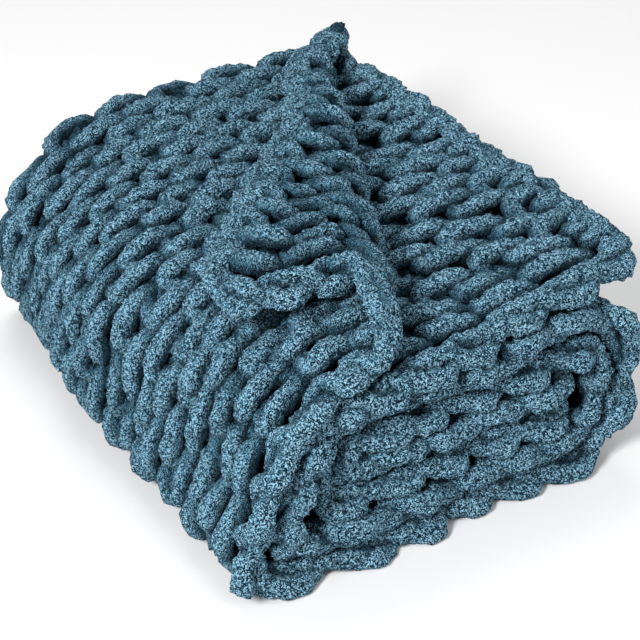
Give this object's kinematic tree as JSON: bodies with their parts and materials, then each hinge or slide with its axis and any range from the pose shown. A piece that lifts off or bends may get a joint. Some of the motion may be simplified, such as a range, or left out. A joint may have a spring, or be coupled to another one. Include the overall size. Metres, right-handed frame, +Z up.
{
  "type": "folded chunky knit blanket",
  "caption": "Thick chenille hand-knit throw, doubled and folded into a stack, with one corner of the top layer turned back.",
  "frame": {"origin": "middle of the footprint, on the flat underside", "axes": "+Z up; +Y across the ribs, from the near edges to the far loop; +X along the ribs, from the round left fold to the free end"},
  "size_m": [0.4224, 0.5546, 0.2419],
  "materials": {
    "chenille": "soft matt pile"
  },
  "bodies": {
    "root": {"blanket": "chenille"}
  },
  "joints": []
}
